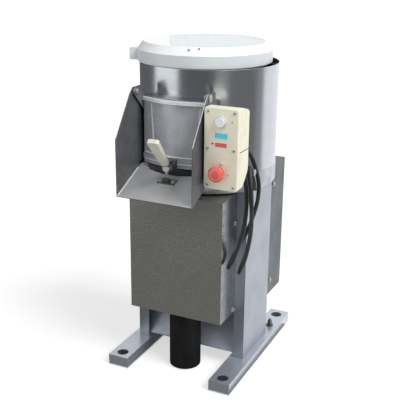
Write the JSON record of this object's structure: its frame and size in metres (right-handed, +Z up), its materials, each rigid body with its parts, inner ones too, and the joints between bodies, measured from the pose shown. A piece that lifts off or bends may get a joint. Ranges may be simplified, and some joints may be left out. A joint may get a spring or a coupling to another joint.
{
  "type": "potato peeler machine",
  "caption": "Floor-standing potato peeler: abrasive drum with lid, lever-latched discharge door and chute on a channel pedestal, belt drive, drain pipe and push-button box.",
  "frame": {"origin": "on the floor under the middle of the machine's box, cable left out", "axes": "+Z up, -Y the way the discharge chute points, +X to the control box's side"},
  "size_m": [0.4296, 0.5554, 0.9055],
  "materials": {
    "frame_paint": "satin silver-grey paint",
    "hammer_paint": "dark grey hammertone paint",
    "grey_paint": "mid-grey paint",
    "panel_steel": "satin sheet",
    "chute_paint": "satin grey paint",
    "cast_aluminium": "machined casting",
    "polished_steel": "polished",
    "stainless": "satin",
    "steel": "ground",
    "zinc": "zinc plated",
    "chrome": "bright",
    "brass": "turned",
    "cast_iron": "as cast",
    "motor_paint": "blue-grey paint",
    "abrasive": "coarse bonded grit",
    "black_rubber": "matte",
    "black_cable": "smooth sheath",
    "black_plastic": "moulded",
    "lid_plastic": "smooth moulded",
    "window": "translucent mint sheet",
    "box_plastic": "ivory moulded",
    "beige_plastic": "moulded",
    "white_plastic": "smooth",
    "red_plastic": "smooth",
    "lamp_lens": "clear"
  },
  "bodies": {
    "frame": {"base_rail_left": "frame_paint", "base_rail_right": "frame_paint", "leg_left": "frame_paint", "leg_right": "frame_paint", "deck_plate": "frame_paint", "motor_plate": "frame_paint", "front_cover": "hammer_paint", "rear_cover": "grey_paint", "splash_panel": "panel_steel", "chute": "chute_paint", "drum_base": "cast_aluminium", "drum_shell": "polished_steel", "outlet_neck": "stainless", "earth_stud": "zinc", "drain_clamp": "zinc", "lower_bearing": "zinc", "upper_bearing": "zinc", "pivot_bolt_left": "zinc", "pivot_bolt_right": "zinc", "pivot_nut_left": "zinc", "pivot_nut_right": "zinc", "latch_keeper": "zinc", "control_bracket": "zinc", "start_bezel": "chrome", "water_inlet": "brass", "bearing_housing": "cast_iron", "motor_body": "motor_paint", "abrasive_liner": "abrasive", "shaft_seal": "black_rubber", "drain_pipe": "black_rubber", "v_belt": "black_rubber", "door_gasket": "black_rubber", "supply_cable": "black_cable", "cable_hank": "black_cable", "motor_cowl": "black_plastic", "contact_block": "black_plastic", "cable_gland": "black_plastic", "control_box_body": "box_plastic", "control_box_lid": "box_plastic", "estop_bezel": "red_plastic", "indicator_lamp": "lamp_lens"},
    "disc_rotor": {"main_shaft": "steel", "driven_pulley": "cast_iron", "abrasive_disc": "abrasive", "disc_nut": "steel"},
    "motor_rotor": {"motor_shaft": "steel", "motor_pulley": "cast_iron", "motor_fan": "black_plastic"},
    "door": {"door": "stainless", "latch_bracket": "zinc", "latch_pin": "zinc"},
    "latch": {"latch_lever": "steel", "latch_grip": "beige_plastic"},
    "lid": {"lid": "lid_plastic", "lid_window": "window"},
    "start": {"start_button": "white_plastic"},
    "stop_slide": {"estop_stem": "black_plastic"},
    "stop_head": {"estop_head": "red_plastic"}
  },
  "joints": [
    {"name": "disc_spin", "type": "hinge", "parent": "frame", "child": "disc_rotor", "pos_m": [-0.00019, 0.05095, 0.583], "axis": [0, 0, 1], "continuous": true},
    {"name": "motor_spin", "type": "hinge", "parent": "frame", "child": "motor_rotor", "pos_m": [-0.00019, 0.15905, 0.389], "axis": [0, 0, 1], "continuous": true},
    {"name": "door_hinge", "type": "hinge", "parent": "frame", "child": "door", "pos_m": [-0.00019, -0.17525, 0.7943], "axis": [-1, 0, 0], "range_deg": [0, 85]},
    {"name": "latch_lever", "type": "hinge", "parent": "door", "child": "latch", "pos_m": [-0.00019, -0.19645, 0.61], "axis": [1, 0, 0], "range_deg": [0, 60]},
    {"name": "lid_lift", "type": "slide", "parent": "frame", "child": "lid", "axis": [0, 0, 1], "range_m": [0, 0.15]},
    {"name": "start_press", "type": "slide", "parent": "frame", "child": "start", "axis": [0, 1, 0], "range_m": [0, 0.003], "stiffness_N_per_m": 800},
    {"name": "estop_press", "type": "slide", "parent": "frame", "child": "stop_slide", "axis": [0, 1, 0], "range_m": [0, 0.004]},
    {"name": "estop_twist", "type": "hinge", "parent": "stop_slide", "child": "stop_head", "pos_m": [0.15531, -0.22495, 0.626], "axis": [0, 1, 0], "range_deg": [0, 35], "stiffness_Nm_per_rad": 0.05}
  ],
  "couplings": [
    {"joint": "motor_spin", "follows": "disc_spin", "ratio": 3}
  ]
}
